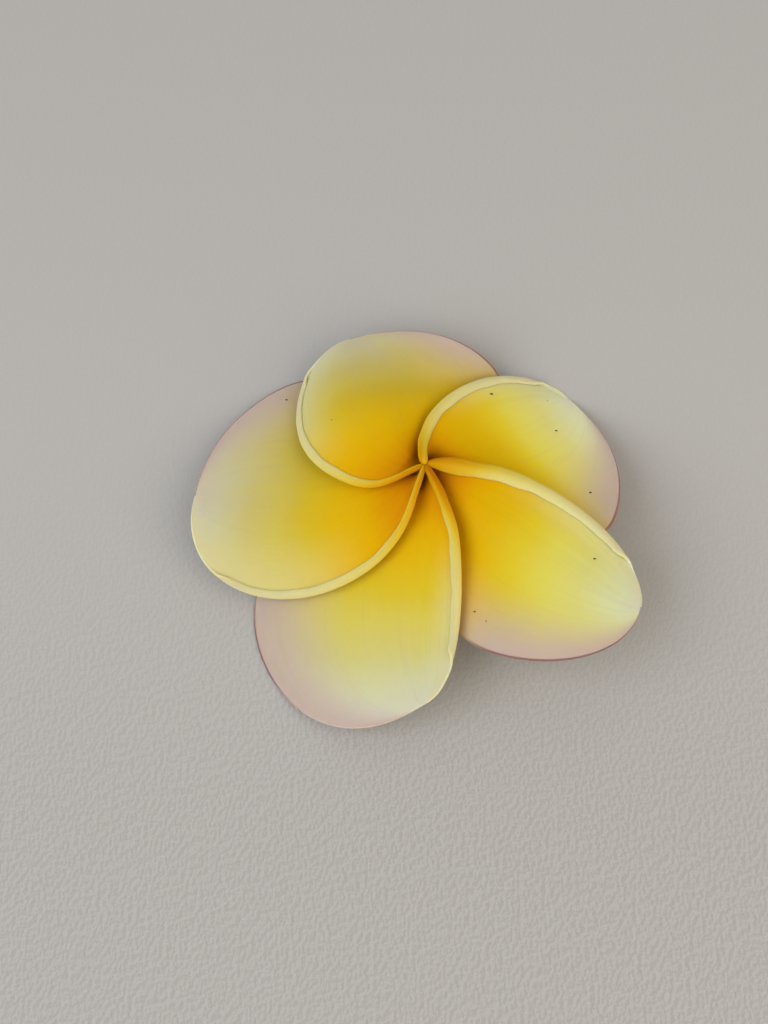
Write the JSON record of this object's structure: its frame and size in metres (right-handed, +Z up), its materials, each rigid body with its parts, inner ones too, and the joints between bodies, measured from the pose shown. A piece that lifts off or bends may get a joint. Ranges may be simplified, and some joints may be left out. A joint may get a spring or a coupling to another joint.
{
  "type": "frangipani flower",
  "caption": "Fallen frangipani bloom: broad yellow petals in a pinwheel, each leading margin rolled inward over its neighbour, round the mouth of a short slender tube; it rests on petal edges.",
  "frame": {"origin": "centre of the bounding box's bottom face, on the surface the flower lies on", "axes": "+Z up from the surface, through the open face of the flower; +X toward the tip of petal_right; +Y toward the far side, where petal_top stands"},
  "size_m": [0.0669, 0.0626, 0.0149],
  "materials": {
    "petal": "satin",
    "tube": "matte"
  },
  "bodies": {
    "root": {"petal_right": "petal", "petal_upper_right": "petal", "petal_top": "petal", "petal_left": "petal", "petal_bottom": "petal", "corolla_tube": "tube"}
  },
  "joints": []
}
